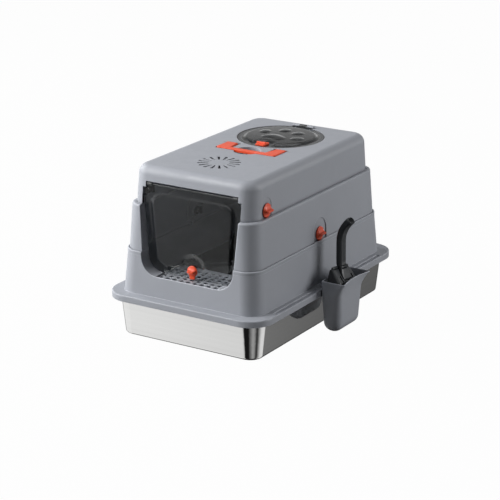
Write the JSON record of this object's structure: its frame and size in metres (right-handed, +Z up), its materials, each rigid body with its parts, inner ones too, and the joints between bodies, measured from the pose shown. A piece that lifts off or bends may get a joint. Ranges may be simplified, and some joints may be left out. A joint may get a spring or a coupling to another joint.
{
  "type": "litter box enclosure",
  "caption": "Enclosed litter box: steel pan under nested moulded tiers with a swing door, a hinged skylight, a carry handle, side locks, and a scoop in a hung holder.",
  "frame": {"origin": "centre of the steel pan's flat bottom, where the box stands on the floor", "axes": "+X to the right seen from the entry, -Y out of the entry, +Z up; the long side runs along Y"},
  "size_m": [0.4515, 0.6004, 0.3795],
  "materials": {
    "steel": "polished",
    "shell": "satin",
    "shell_light": "satin",
    "orange": "satin",
    "smoked": "gloss",
    "smoked_clear": "gloss",
    "black": "satin",
    "pin_steel": "satin",
    "carbon": "matte"
  },
  "bodies": {
    "pan": {"steel_pan": "steel"},
    "lower": {"lower_frame": "shell", "step_grate": "shell_light"},
    "middle": {"middle_frame": "shell"},
    "cover": {"top_cover": "shell", "skylight_hinge_pin": "pin_steel", "handle_pins": "pin_steel"},
    "handle": {"carry_handle": "orange"},
    "skylight": {"skylight_lid": "smoked"},
    "latch_slide": {"skylight_latch": "orange"},
    "door": {"entry_door": "smoked_clear", "door_pins": "pin_steel"},
    "door_latch": {"door_latch_knob": "orange", "door_latch_ring": "shell_light"},
    "filter": {"filter_tray": "shell_light", "carbon_filter": "carbon"},
    "holder": {"scoop_holder": "shell"},
    "scoop_body": {"scoop": "black"},
    "upper_lock_right": {"upper_knob_right": "orange", "upper_cam_right": "black", "upper_cam_screw_right": "pin_steel"},
    "upper_lock_left": {"upper_knob_left": "orange", "upper_cam_left": "black", "upper_cam_screw_left": "pin_steel"},
    "middle_lock_right": {"middle_knob_right": "orange", "middle_cam_right": "black", "middle_cam_screw_right": "pin_steel"},
    "middle_lock_left": {"middle_knob_left": "orange", "middle_cam_left": "black", "middle_cam_screw_left": "pin_steel"}
  },
  "joints": [
    {"name": "lower_frame_lift", "type": "slide", "parent": "pan", "child": "lower", "axis": [0, 0, 1], "range_m": [0, 0.12]},
    {"name": "middle_frame_lift", "type": "slide", "parent": "lower", "child": "middle", "axis": [0, 0, 1], "range_m": [0, 0.12]},
    {"name": "top_cover_lift", "type": "slide", "parent": "middle", "child": "cover", "axis": [0, 0, 1], "range_m": [0, 0.15]},
    {"name": "handle_hinge", "type": "hinge", "parent": "cover", "child": "handle", "pos_m": [0, 0.00615, 0.3702], "axis": [-1, 0, 0], "range_deg": [0, 90]},
    {"name": "skylight_hinge", "type": "hinge", "parent": "cover", "child": "skylight", "pos_m": [0, 0.20865, 0.374], "axis": [-1, 0, 0], "range_deg": [0, 100]},
    {"name": "skylight_latch_slide", "type": "slide", "parent": "skylight", "child": "latch_slide", "axis": [0, -1, 0], "range_m": [0, 0.006]},
    {"name": "door_swing", "type": "hinge", "parent": "cover", "child": "door", "pos_m": [0, -0.24394, 0.335], "axis": [1, 0, 0], "range_deg": [-85, 85]},
    {"name": "door_latch_turn", "type": "hinge", "parent": "door", "child": "door_latch", "pos_m": [0, -0.24519, 0.1615], "axis": [0, -1, 0], "range_deg": [0, 180]},
    {"name": "filter_tray_slide", "type": "slide", "parent": "cover", "child": "filter", "axis": [1, 0, 0], "range_m": [0, 0.07]},
    {"name": "holder_lift", "type": "slide", "parent": "lower", "child": "holder", "axis": [0, 0, 1], "range_m": [0, 0.025]},
    {"name": "scoop_lift", "type": "slide", "parent": "holder", "child": "scoop_body", "axis": [0, 0, 1], "range_m": [0, 0.16]},
    {"name": "upper_lock_right_turn", "type": "hinge", "parent": "cover", "child": "upper_lock_right", "pos_m": [0.14875, -0.19615, 0.306], "axis": [-1, 0, 0], "range_deg": [0, 90]},
    {"name": "upper_lock_left_turn", "type": "hinge", "parent": "cover", "child": "upper_lock_left", "pos_m": [-0.14875, -0.19615, 0.306], "axis": [-1, 0, 0], "range_deg": [0, 90]},
    {"name": "middle_lock_right_turn", "type": "hinge", "parent": "middle", "child": "middle_lock_right", "pos_m": [0.1597, 0.004, 0.2045], "axis": [-1, 0, 0], "range_deg": [0, 90]},
    {"name": "middle_lock_left_turn", "type": "hinge", "parent": "middle", "child": "middle_lock_left", "pos_m": [-0.1597, 0.004, 0.2045], "axis": [-1, 0, 0], "range_deg": [0, 90]}
  ]
}
